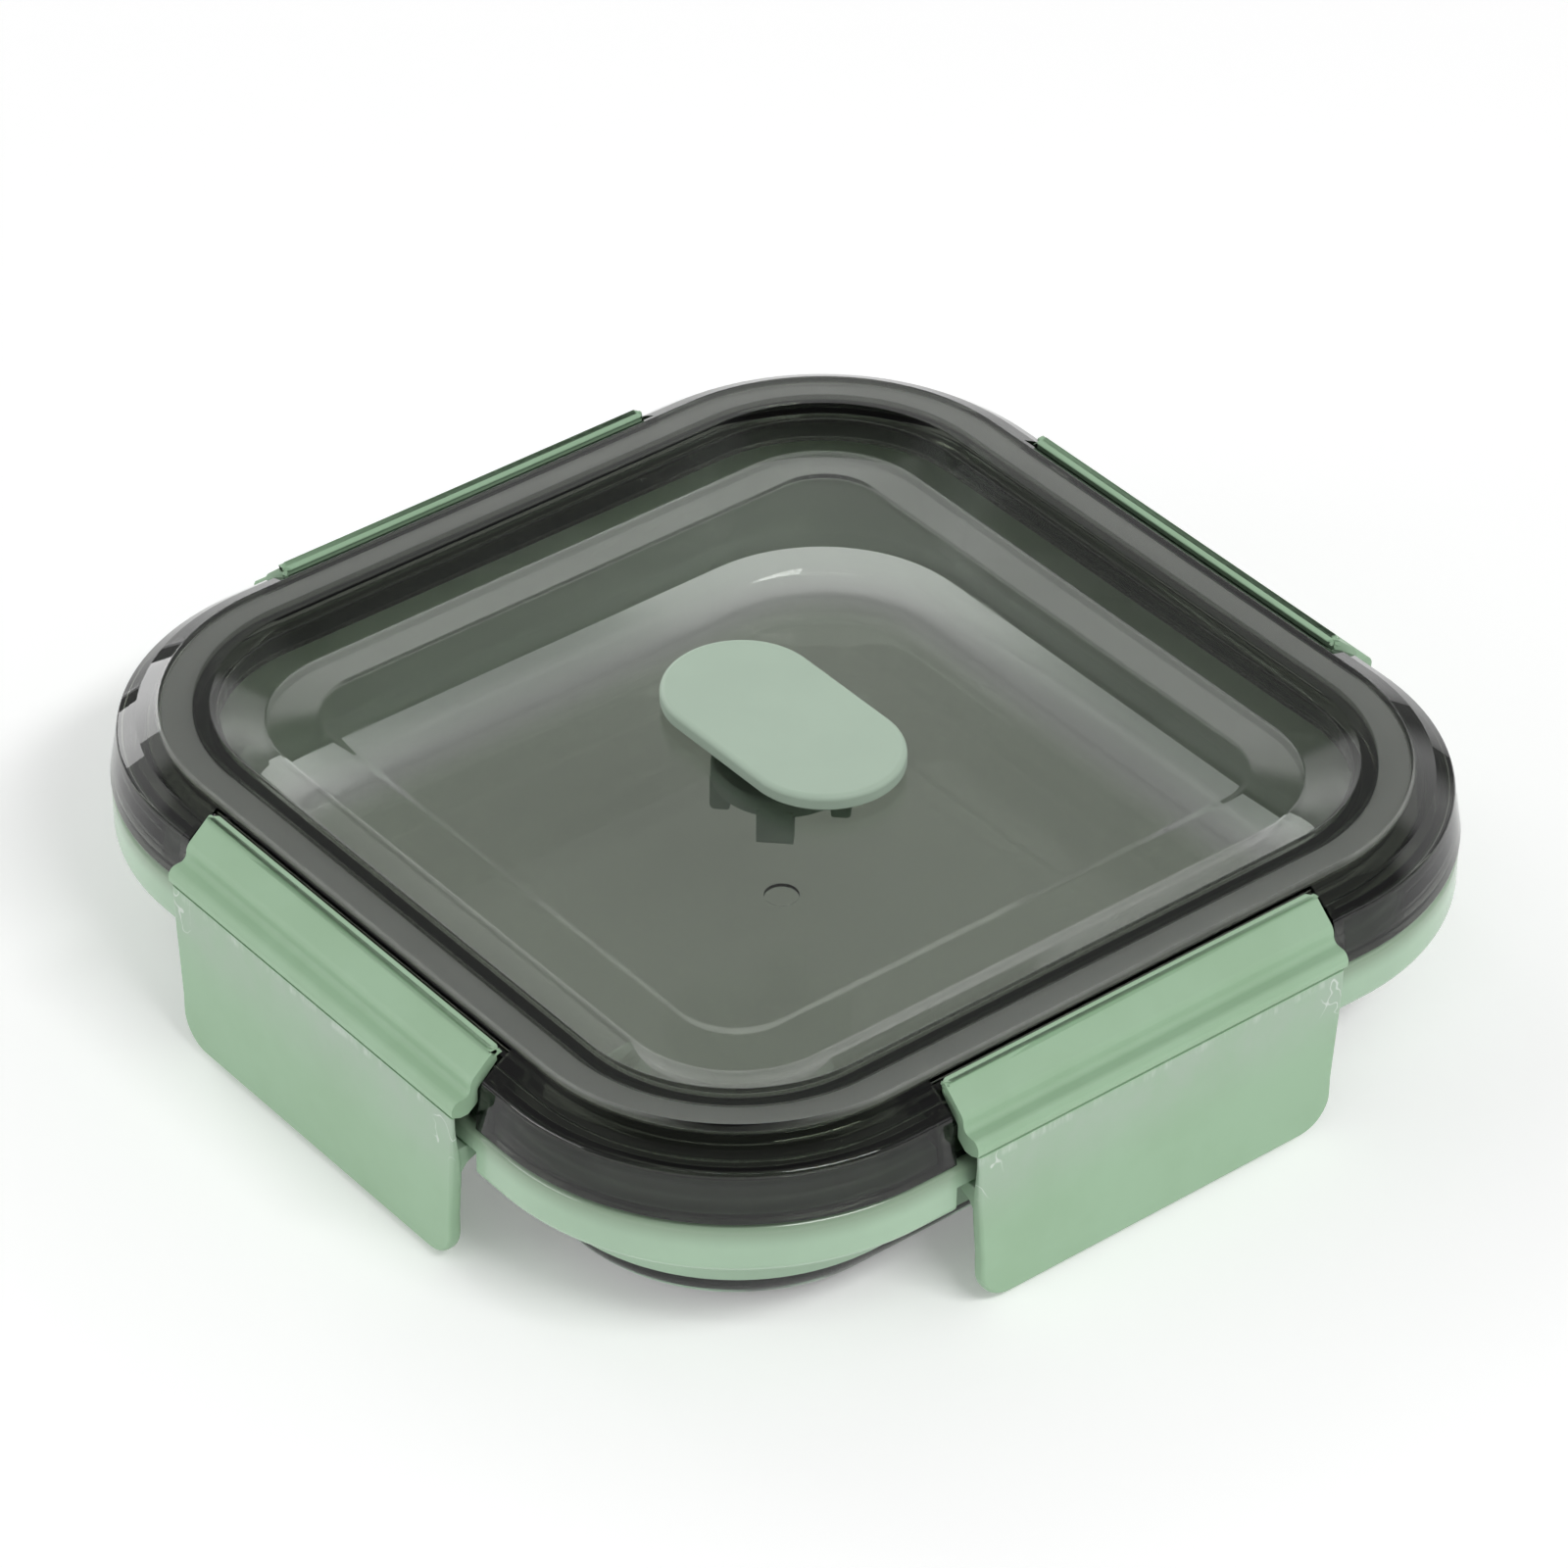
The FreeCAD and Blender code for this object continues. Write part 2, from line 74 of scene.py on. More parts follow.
class Amount:
    """A number that varies over a surface, with the usual arithmetic as shader nodes."""

    def __init__(self, bench: "Bench", socket: bpy.types.NodeSocket) -> None:
        """Wrap one output socket of a bench's node tree."""
        self.bench = bench
        self.socket = socket

    def _math(self, operation: str, first: Any, second: Any) -> "Amount":
        """Add one Math node.

        Args:
            operation: the Math node's operation.
            first: left value or Amount.
            second: right value or Amount.

        Returns:
            The node's result.
        """
        return self.bench.add("ShaderNodeMath", {"operation": operation}, {0: first, 1: second})

    def __add__(self, other: Any) -> "Amount":
        """Sum."""
        return self._math("ADD", self, other)

    def __radd__(self, other: Any) -> "Amount":
        """Sum with a number on the left."""
        return self._math("ADD", other, self)

    def __sub__(self, other: Any) -> "Amount":
        """Difference."""
        return self._math("SUBTRACT", self, other)

    def __rsub__(self, other: Any) -> "Amount":
        """Difference with a number on the left."""
        return self._math("SUBTRACT", other, self)

    def __mul__(self, other: Any) -> "Amount":
        """Product."""
        return self._math("MULTIPLY", self, other)

    def __rmul__(self, other: Any) -> "Amount":
        """Product with a number on the left."""
        return self._math("MULTIPLY", other, self)

    def __pow__(self, other: Any) -> "Amount":
        """Power."""
        return self._math("POWER", self, other)

    def at_least(self, least: float) -> "Amount":
        """The value, or `least` where the value is lower."""
        return self._math("MAXIMUM", self, least)

    def absolute(self) -> "Amount":
        """Size without its sign."""
        return self._math("ABSOLUTE", self, 0.0)

    def ramp(self, low: float, high: float) -> "Amount":
        """Smooth step.

        Args:
            low: value where the result is 0.
            high: value where the result is 1.

        Returns:
            Amount between 0 and 1.
        """
        settings = {"interpolation_type": "SMOOTHSTEP", "clamp": True}
        return self.bench.add("ShaderNodeMapRange", settings, {0: self, 1: low, 2: high})


class Bench:
    """Builds one material's node tree."""

    def __init__(self, name: str) -> None:
        """Start an empty material with an output node."""
        self.material = bpy.data.materials.new(name)
        self.material.use_nodes = True
        self.tree = self.material.node_tree
        self.tree.nodes.clear()
        self.output = self.tree.nodes.new("ShaderNodeOutputMaterial")

    def node(self, kind: str, settings: dict[str, Any], inputs: dict[Any, Any]) -> bpy.types.Node:
        """Add a node.

        Args:
            kind: the node's type name.
            settings: properties that are set before the sockets.
            inputs: socket names or numbers with values, Amounts or sockets.

        Returns:
            The new node.
        """
        node = self.tree.nodes.new(kind)
        for key, value in settings.items():
            setattr(node, key, value)
        for key, value in inputs.items():
            if isinstance(value, Amount):
                value = value.socket
            if isinstance(value, bpy.types.NodeSocket):
                self.tree.links.new(value, node.inputs[key])
            else:
                node.inputs[key].default_value = value
        return node

    def add(self, kind: str, settings: dict[str, Any], inputs: dict[Any, Any],
            output: Any = 0) -> Amount:
        """Add a node and wrap one of its outputs.

        Args:
            kind: the node's type name.
            settings: properties that are set before the sockets.
            inputs: socket names or numbers with values, Amounts or sockets.
            output: name or number of the output.

        Returns:
            The wrapped output.
        """
        return Amount(self, self.node(kind, settings, inputs).outputs[output])

    def place(self, shift: Sequence[float] = (0, 0, 0), turn: float = 0.0,
              stretch: Sequence[float] = (1, 1, 1)) -> bpy.types.NodeSocket:
        """Object coordinates, shifted, turned about the upright axis in degrees and stretched."""
        where = self.node("ShaderNodeTexCoord", {}, {}).outputs["Object"]
        mapped = self.node("ShaderNodeMapping", {}, {
            "Vector": where, "Location": shift, "Rotation": (0, 0, math.radians(turn)),
            "Scale": stretch,
        })
        return mapped.outputs[0]

    def axis(self, where: bpy.types.NodeSocket, letter: str) -> Amount:
        """One coordinate of a place."""
        return self.add("ShaderNodeSeparateXYZ", {}, {0: where}, letter)

    def reach(self) -> Amount:
        """Distance out from the middle, measured to a rounded square, in metres."""
        corner = CORNER * MM
        where = self.place()
        across, along = ((self.axis(where, letter).absolute() - corner).at_least(0.0)
                         for letter in "XY")
        return (across * across + along * along) ** 0.5 + corner

    def noise(self, scale: float, detail: float = 2.0, roughness: float = 0.5,
              where: Optional[bpy.types.NodeSocket] = None) -> Amount:
        """Soft noise between 0 and 1.

        Args:
            scale: about how many lumps there are to the metre.
            detail: how many finer layers it has.
            roughness: how strong the finer layers are.
            where: the place it follows; the object's own by default.

        Returns:
            The noise.
        """
        inputs = {"Vector": where or self.place(), "Scale": scale, "Detail": detail,
                  "Roughness": roughness}
        return self.add("ShaderNodeTexNoise", {}, inputs)

    def blend(self, factor: Any, first: Any, second: Any) -> bpy.types.NodeSocket:
        """Mix two colours.

        Args:
            factor: 0 for the first, 1 for the second.
            first: a colour or a colour socket.
            second: a colour or a colour socket.

        Returns:
            Socket that holds the mixed colour.
        """
        node = self.node("ShaderNodeMix", {"data_type": "RGBA"}, {0: factor})
        for index, colour in ((6, first), (7, second)):
            if isinstance(colour, bpy.types.NodeSocket):
                self.tree.links.new(colour, node.inputs[index])
            else:
                node.inputs[index].default_value = (*colour, 1.0)
        return node.outputs[2]

    def bump(self, height: Amount, depth: float, strength: float = 1.0) -> bpy.types.NodeSocket:
        """Surface relief.

        Args:
            height: how high the surface stands, as a share of the depth.
            depth: depth of the relief in metres.
            strength: how strongly it shows.

        Returns:
            Socket that holds the bumped normal.
        """
        node = self.node("ShaderNodeBump", {}, {
            "Height": height, "Distance": depth, "Strength": strength,
        })
        return node.outputs[0]

    def shade(self, inputs: dict[str, Any]) -> bpy.types.Node:
        """Add the surface shader and join it to the output."""
        shader = self.node("ShaderNodeBsdfPrincipled", {}, inputs)
        self.tree.links.new(shader.outputs[0], self.output.inputs["Surface"])
        return shader

    def fill(self, colour: Colour, density: float) -> None:
        """Give the solid a depth tint: what it lets through, and how fast it darkens per metre."""
        volume = self.node("ShaderNodeVolumeAbsorption", {}, {
            "Color": (*colour, 1.0), "Density": density,
        })
        self.tree.links.new(volume.outputs[0], self.output.inputs["Volume"])


# --- finishes ---


@dataclass(frozen=True)
class Finish:
    """What every finish can do: make its material once and hand it out."""

    name: str

    def dress(self, bench: Bench) -> None:
        """Lay the finish's nodes on the bench."""
        raise NotImplementedError

    def material(self) -> bpy.types.Material:
        """The finish's material, made on first use."""
        found = bpy.data.materials.get(self.name)
        if found:
            return found
        bench = Bench(self.name)
        self.dress(bench)
        return bench.material


@dataclass(frozen=True)
class TintedClear(Finish):
    """Clear moulding or glass whose colour comes from its depth."""

    tint: Colour = (0.10, 0.13, 0.07)
    density: float = 185.0
    refraction: float = 1.47
    smooth: float = 0.015
    smudge: float = 0.05
    wave_scale: float = 45.0
    wave_depth: float = 0.00002

    def tone(self, bench: Bench) -> Any:
        """Clear all through."""
        return (1.0, 1.0, 1.0, 1.0)

    def dress(self, bench: Bench) -> None:
        """Polished surface with faint smudges and moulding waves."""
        smudges = bench.noise(38.0, 5.0, 0.62).ramp(0.56, 0.74)
        waves = bench.noise(self.wave_scale, 1.0)
        bench.shade({
            "Base Color": self.tone(bench), "Transmission Weight": 1.0,
            "IOR": self.refraction, "Roughness": self.smooth + self.smudge * smudges,
            "Normal": bench.bump(waves, self.wave_depth),
        })
        bench.fill(self.tint, self.density)


@dataclass(frozen=True)
class TrayGlass(TintedClear):
    """Tray glass with a painted shade in its floor, standing in for the shadowed ground under the
    tray.
    """

    # painted shade colour for the tray floor, standing in for the shadowed ground seen through it
    painted_floor_shade: Colour = (0.74, 0.79, 0.70)
    floor_top: float = 0.0052
    floor_fade: float = 0.0010
    floor_edge: float = 0.0600
    edge_fade: float = 0.0060

    def tone(self, bench: Bench) -> Any:
        """Clear in the walls, with a painted shade in the floor."""
        height = bench.axis(bench.place(), "Z")
        # painted shade mask: the floor inside the foot ring
        low = height.ramp(self.floor_top + self.floor_fade, self.floor_top)
        inside = bench.reach().ramp(self.floor_edge, self.floor_edge - self.edge_fade)
        return bench.blend(low * inside, (1.0, 1.0, 1.0), self.painted_floor_shade)


@dataclass(frozen=True)
class SmokedClear(TintedClear):
    """Smoked moulding with painted shade: dark bands beside the seal channel and outside the
    shoulder, and a dark line at the skirt's lower edge.
    """

    # painted shade colours: the dark bands beside the seal channel and outside the shoulder, and
    # the dark line along the skirt's lower edge
    painted_band_shade: Colour = (0.22, 0.24, 0.20)
    painted_edge_shade: Colour = (0.04, 0.04, 0.04)
    channel_in: float = 0.0652
    channel_out: float = 0.0672
    shoulder: float = 0.0724
    skirt_top: float = 0.0315
    foot: float = 0.0256
    soft: float = 0.0006
    fine_soft: float = 0.0004
    skirt_soft: float = 0.0010
    skirt_shade_relief: float = 0.35

    def tone(self, bench: Bench) -> Any:
        """Clear in the panel and over the seal; painted shade beside the channel and outside the
        shoulder, lighter on the skirt, with a painted dark line at the lower edge.
        """
        height = bench.axis(bench.place(), "Z")
        reach = bench.reach()
        inner_wall = reach.ramp(self.channel_in - self.soft, self.channel_in)
        inner_wall = inner_wall * reach.ramp(self.channel_out + self.fine_soft, self.channel_out)
        outside = reach.ramp(self.shoulder, self.shoulder + self.soft)
        skirt = height.ramp(self.skirt_top, self.skirt_top - self.skirt_soft)
        # painted shade mask: beside the seal channel and outside the shoulder, weaker on the skirt
        depth = inner_wall + outside * (1.0 - self.skirt_shade_relief * skirt)
        body = bench.blend(depth, (1.0, 1.0, 1.0), self.painted_band_shade)
        # painted dark line along the skirt's lower edge
        edge = height.ramp(self.foot, self.foot - self.fine_soft)
        return bench.blend(edge, body, self.painted_edge_shade)


@dataclass(frozen=True)
class Moulding(Finish):
    """Coloured plastic, glossy or matt, with mottled colour and a fine mould grain."""

    colour: Colour = (0.43, 0.55, 0.42)
    other: Colour = (0.40, 0.53, 0.40)
    rough: float = 0.25
    rough_spread: float = 0.08
    grain_scale: float = 2400.0
    grain_depth: float = 0.000008
    wave_depth: float = 0.00003

    def tone(self, bench: Bench) -> bpy.types.NodeSocket:
        """Colour with a slow, faint mottle."""
        mottle = bench.noise(55.0, 4.0, 0.6).ramp(0.35, 0.65)
        return bench.blend(mottle, self.colour, self.other)

    def dress(self, bench: Bench) -> None:
        """Mottled colour, patchy gloss, grain and slow waves."""
        patches = bench.noise(30.0, 4.0, 0.6)
        grain = bench.noise(self.grain_scale, 2.0, 0.6)
        waves = bench.noise(60.0, 1.0)
        relief = grain * self.grain_depth + waves * self.wave_depth
        bench.shade({
            "Base Color": self.tone(bench), "IOR": 1.49,
            "Roughness": self.rough + self.rough_spread * (patches - 0.5),
            "Normal": bench.bump(relief * 1000.0, 0.001),
        })


@dataclass(frozen=True)
class LatchMoulding(Moulding):
    """Matt latch plastic, paled below its crease, with fine stress marks at its ends."""

    pale: Colour = (0.39, 0.47, 0.40)
    stress: Colour = (0.64, 0.70, 0.65)
    pale_low: float = 0.012
    pale_high: float = 0.027
    face: float = 0.08255
    mark_from: float = 0.0280
    pale_share: float = 0.7
    crease_share: float = 0.5
    mark_share: float = 0.75

    def tone(self, bench: Bench) -> bpy.types.NodeSocket:
        """Mottled colour, paler towards the crease, with white lines by the upper ends."""
        base = super().tone(bench)
        height = bench.axis(bench.place(), "Z")
        below = height.ramp(self.pale_low, self.pale_high - 0.001)
        above = height.ramp(self.pale_high + 0.0005, self.pale_high)
        cloud = bench.noise(120.0, 4.0, 0.65).ramp(0.3, 0.7)
        fade = below * above * (0.45 + 0.55 * cloud)
        paled = bench.blend(fade * self.pale_share, base, self.pale)
        near_crease = (height - self.pale_high + 0.0003).absolute().ramp(0.0011, 0.0002)
        streak = bench.noise(500.0, 3.0, 0.7, bench.place(stretch=(1, 1, 0.2))).ramp(0.45, 0.75)
        marked = bench.blend(near_crease * streak * self.crease_share, paled, self.stress)
        along = self.spread(bench, "X") + self.spread(bench, "Y") - self.face
        ends = along.ramp(self.mark_from, self.mark_from + 0.0015) * height.ramp(0.019, 0.022)
        line = (bench.noise(210.0, 1.5, 0.6) - 0.5).absolute().ramp(0.016, 0.005)
        return bench.blend(ends * above * line * self.mark_share, marked, self.stress)

    def spread(self, bench: Bench, letter: str) -> Amount:
        """Distance from the middle along one axis."""
        return bench.axis(bench.place(), letter).absolute()


@dataclass(frozen=True)
class CollarMoulding(Moulding):
    """Glossy sleeve plastic: painted shade under the lid's edge, and painted light on the inner
    face where it lies on the glass.
    """

    # painted shade colour under the overhang of the lid's skirt
    shade: Colour = (0.22, 0.30, 0.21)
    shade_low: float = 0.0205
    shade_high: float = 0.0240
    shade_share: float = 0.8
    # painted light: a paler inner face that stands in for light reaching the inside of the
    # container
    painted_lining_light: Colour = (0.68, 0.86, 0.62)
    lining_out: float = 0.0682
    lining_lean: float = 0.126
    lining_fade: float = 0.0003

    def tone(self, bench: Bench) -> bpy.types.NodeSocket:
        """Mottled colour with painted shade towards the collar's upper edge and painted light on
        the inner face.
        """
        height = bench.axis(bench.place(), "Z")
        painted_shade_mask = height.ramp(self.shade_low, self.shade_high)
        # painted shade towards the collar's upper edge
        outer = bench.blend(painted_shade_mask * self.shade_share, super().tone(bench), self.shade)
        inner = bench.reach() - self.lining_lean * height
        painted_lining_light = inner.ramp(self.lining_out + self.lining_fade, self.lining_out)
        # painted light on the inner face
        return bench.blend(painted_lining_light, outer, self.painted_lining_light)


@dataclass(frozen=True)
class Silicone(Moulding):
    """Soft matt rubber."""

    sheen: float = 0.15

    def dress(self, bench: Bench) -> None:
        """Mottled colour under a dry, powdery surface."""
        super().dress(bench)
        shader = next(n for n in bench.tree.nodes if n.type == "BSDF_PRINCIPLED")
        shader.inputs["Sheen Weight"].default_value = self.sheen
        shader.inputs["Sheen Roughness"].default_value = 0.4


@dataclass(frozen=True)
class Paper(Finish):
    """White studio floor."""

    white: float = 0.93
    lift: float = 0.20

    def dress(self, bench: Bench) -> None:
        """Plain dull white with the faintest mottle."""
        level = bench.noise(3.0, 2.0).ramp(0.2, 0.8)
        low = self.white - 0.01
        colour = bench.blend(level, (low, low, low), (self.white,) * 3)
        bench.shade({"Base Color": colour, "Roughness": 0.9, "Specular IOR Level": 0.1,
                     "Emission Color": (1.0, 1.0, 1.0, 1.0), "Emission Strength": self.lift})


CLEAR_GLASS = TrayGlass("pressed_glass", tint=(0.50, 0.74, 0.55), density=14.0, refraction=1.5,
                        smooth=0.0, smudge=0.02, wave_scale=30.0, wave_depth=0.00004)
SMOKE_PLASTIC = SmokedClear("smoked_lid")
SAGE_PLASTIC = CollarMoulding("glossy_sage", colour=(0.38, 0.54, 0.39), other=(0.36, 0.51, 0.37),
                              rough=0.16, rough_spread=0.06, grain_depth=0.000001)
MATTE_SAGE = LatchMoulding("matt_latch", colour=(0.320, 0.485, 0.325), other=(0.300, 0.460, 0.300),
                           rough=0.46)
SAGE_SILICONE = Silicone("soft_sage", colour=(0.415, 0.530, 0.425), other=(0.400, 0.510, 0.410),
                         rough=0.6)
PALE_SILICONE = Silicone("soft_grey", colour=(0.60, 0.62, 0.59), other=(0.57, 0.59, 0.56),
                         rough=0.5)
WHITE_PAPER = Paper("floor_paper")


# --- mesh work ---


@dataclass(frozen=True)
class Turn:
    """One corner of a section, in millimetres: distance out, height and rounding radius."""

    out: float
    up: float
    radius: float = 0.0
    steps: int = 4


class Section:
    """Outline of a moulding's wall, swept round the square or drawn out straight."""

    def __init__(self, turns: Sequence[Turn], closed: bool = True) -> None:
        """Keep the corners in order.

        Args:
            turns: the section's corners.
            closed: whether the last corner joins the first.
        """
        self.turns = list(turns)
        self.closed = closed

    def draw(self, bm: bmesh.types.BMesh, along: float) -> list[bmesh.types.BMEdge]:
        """Add the outline as loose edges.

        Args:
            bm: the mesh it goes into.
            along: distance along the side in millimetres.

        Returns:
            The new edges, in order.
        """
        layer = bm.verts.layers.int.get("turn") or bm.verts.layers.int.new("turn")
        verts = []
        for number, turn in enumerate(self.turns, start=1):
            vert = bm.verts.new((turn.out * MM, along * MM, turn.up * MM))
            vert[layer] = number
            verts.append(vert)
        pairs = list(zip(verts, verts[1:]))
        if self.closed:
            pairs.append((verts[-1], verts[0]))
        return [bm.edges.new(pair) for pair in pairs]

    def offset(self, index: int) -> float:
        """How far a corner's round reaches along its walls.

        Args:
            index: the corner's place in the outline.

        Returns:
            Distance in millimetres.
        """
        before, here = self.turns[index - 1], self.turns[index]
        after = self.turns[(index + 1) % len(self.turns)]
        first = Vector((here.out - before.out, here.up - before.up))
        second = Vector((after.out - here.out, after.up - here.up))
        return here.radius * math.tan(abs(first.angle_signed(second)) / 2)

    def soften(self, bm: bmesh.types.BMesh) -> None:
        """Round every corner that has a radius."""
        layer = bm.verts.layers.int["turn"]
        for number, turn in enumerate(self.turns, start=1):
            if not turn.radius:
                continue
            edges = [edge for edge in bm.edges if len(edge.link_faces) == 2
                     and all(vert[layer] == number for vert in edge.verts)]
            bmesh.ops.bevel(bm, geom=edges, offset=self.offset(number - 1) * MM,
                            offset_type="OFFSET", segments=turn.steps, profile=0.5,
                            affect="EDGES", material=-1)

    def sweep(self, steps: int = 30) -> bmesh.types.BMesh:
        """Carry the section round the rounded square.

        Args:
            steps: faces round each corner.

        Returns:
            The swept mesh, with its corners rounded.
        """
        bm = bmesh.new()
        edges = self.draw(bm, CORNER)
        bmesh.ops.spin(bm, geom=bm.verts[:] + edges, cent=(CORNER * MM, CORNER * MM, 0),
                       axis=(0, 0, 1), dvec=(0, 0, 0), angle=math.pi / 2, steps=steps)
        straight = bmesh.ops.extrude_edge_only(bm, edges=edges)["geom"]
        moved = [part for part in straight if isinstance(part, bmesh.types.BMVert)]
        bmesh.ops.translate(bm, verts=moved, vec=(0, -2 * CORNER * MM, 0))
        quarter = bm.verts[:] + bm.edges[:] + bm.faces[:]
        for side in (Side.BACK, Side.LEFT, Side.FRONT):
            copy = bmesh.ops.duplicate(bm, geom=quarter)["geom"]
            turned = [part for part in copy if isinstance(part, bmesh.types.BMVert)]
            bmesh.ops.rotate(bm, verts=turned, cent=(0, 0, 0), matrix=side.turn())
        bmesh.ops.remove_doubles(bm, verts=bm.verts, dist=MM * 0.001)
        bmesh.ops.recalc_face_normals(bm, faces=bm.faces)
        self.soften(bm)
        return bm

    def bar(self, half: float, ends: float = 0.0) -> bmesh.types.BMesh:
        """Draw the section out straight along a side.

        Args:
            half: half the length in millimetres.
            ends: width of the eased edge round both ends.

        Returns:
            The bar, on the right side.
        """
        bm = bmesh.new()
        edges = self.draw(bm, -half)
        face = bmesh.ops.contextual_create(bm, geom=edges)["faces"]
        body = bmesh.ops.extrude_face_region(bm, geom=face)["geom"]
        moved = [part for part in body if isinstance(part, bmesh.types.BMVert)]
        bmesh.ops.translate(bm, verts=moved, vec=(0, 2 * half * MM, 0))
        bmesh.ops.recalc_face_normals(bm, faces=bm.faces)
        self.soften(bm)
        if ends:
            rim = [edge for edge in bm.edges
                   if all(abs(abs(v.co.y) - half * MM) < NEAR * MM for v in edge.verts)
                   and edge.verts[0].co.y * edge.verts[1].co.y > 0]
            ease(bm, rim, ends, 2)
        return bm


def ease(bm: bmesh.types.BMesh, edges: Iterable[bmesh.types.BMEdge], width: float,
         steps: int = 2) -> None:
    """Bevel edges.

    Args:
        bm: the mesh.
        edges: the edges to bevel.
        width: width in millimetres.
        steps: faces across the bevel.
    """
    bmesh.ops.bevel(bm, geom=list(edges), offset=width * MM, offset_type="OFFSET", segments=steps,
                    profile=0.5, affect="EDGES", material=-1, clamp_overlap=True)


def join(target: bmesh.types.BMesh, other: bmesh.types.BMesh) -> None:
    """Add one mesh's shells to another's.

    Args:
        target: the mesh that grows.
        other: the mesh that is added; it is freed.
    """
    mesh = bpy.data.meshes.new("shell")
    other.to_mesh(mesh)
    other.free()
    target.from_mesh(mesh)
    bpy.data.meshes.remove(mesh)


def carve(body: bmesh.types.BMesh, tool: bmesh.types.BMesh) -> bmesh.types.BMesh:
    """Cut one closed mesh out of another.

    Args:
        body: the mesh that is cut; it is freed.
        tool: the mesh that cuts; it is freed.

    Returns:
        What is left of the body.
    """
    shapes = []
    for name, bm in (("body", body), ("tool", tool)):
        mesh = bpy.data.meshes.new(name)
        bm.to_mesh(mesh)
        bm.free()
        shape = bpy.data.objects.new(name, mesh)
        bpy.context.scene.collection.objects.link(shape)
        shapes.append(shape)
    cut = shapes[0].modifiers.new("cut", "BOOLEAN")
    cut.operation = "DIFFERENCE"
    cut.solver = "EXACT"
    cut.object = shapes[1]
    graph = bpy.context.evaluated_depsgraph_get()
    result = bpy.data.meshes.new_from_object(shapes[0].evaluated_get(graph))
    bm = bmesh.new()
    bm.from_mesh(result)
    bpy.data.meshes.remove(result)
    for shape in shapes:
        mesh = shape.data
        bpy.data.objects.remove(shape)
        bpy.data.meshes.remove(mesh)
    bmesh.ops.remove_doubles(bm, verts=bm.verts, dist=MM * 0.001)
    return bm


def all_sides(build: Callable[[], bmesh.types.BMesh]) -> bmesh.types.BMesh:
    """Four copies of a mesh, one on each side."""
    whole = bmesh.new()
    for side in Side:
        part = build()
        bmesh.ops.rotate(part, verts=part.verts, cent=(0, 0, 0), matrix=side.turn())
        join(whole, part)
    return whole


def stadium(half: float, radius: float, low: float, high: float,
            segments: int = 64) -> bmesh.types.BMesh:
    """Upright block with round ends along X.

    Args:
        half: distance of each end's centre from the middle; 0 makes it round.
        radius: radius of the ends.
        low: height of its foot.
        high: height of its top.
        segments: faces round it.

    Returns:
        A closed mesh.
    """
    bm = bmesh.new()
    bmesh.ops.create_cone(bm, cap_ends=True, segments=segments, radius1=radius * MM,
                          radius2=radius * MM, depth=(high - low) * MM)
    bmesh.ops.rotate(bm, verts=bm.verts, cent=(0, 0, 0),
                     matrix=Matrix.Rotation(math.pi / segments, 3, "Z"))
    bmesh.ops.translate(bm, verts=bm.verts, vec=(0, 0, (low + high) / 2 * MM))
    for vert in bm.verts:
        vert.co.x += math.copysign(half * MM, vert.co.x)
    return bm


def edges_at_height(bm: bmesh.types.BMesh, height: float) -> list[bmesh.types.BMEdge]:
    """Edges whose two ends lie at a height in millimetres."""
    return [edge for edge in bm.edges
            if all(abs(vert.co.z - height * MM) < NEAR * MM for vert in edge.verts)]


def make_piece(bm: bmesh.types.BMesh, node: str, finish: Finish, body: str,
               crease: float = 32.0) -> bpy.types.Object:
    """Turn a mesh into a finished piece that stands for a CAD node.

    Args:
        bm: the mesh; it is freed.
        node: the CAD node that the piece replaces.
        finish: its finish.
        body: the body that it moves with.
        crease: edges that turn by more than this many degrees stay crisp.

    Returns:
        The piece.
    """
    limit = math.radians(crease)
    if bm.calc_volume(signed=True) < 0:
        bmesh.ops.reverse_faces(bm, faces=bm.faces)
    for face in bm.faces:
        face.smooth = True
    for edge in bm.edges:
        edge.smooth = len(edge.link_faces) == 2 and edge.calc_face_angle(0.0) < limit
    mesh = bpy.data.meshes.new(f"{node}_made")
    bm.to_mesh(mesh)
    bm.free()
    mesh.materials.append(finish.material())
    piece = bpy.data.objects.new(f"{node}_made", mesh)
    bpy.context.scene.collection.objects.link(piece)
    normals = piece.modifiers.new("normals", "WEIGHTED_NORMAL")
    normals.keep_sharp = True
    normals.weight = 50
    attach(piece, body)
    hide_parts(node)
    log.info("%s: %d faces", piece.name, len(mesh.polygons))
    return piece


# --- the container ---


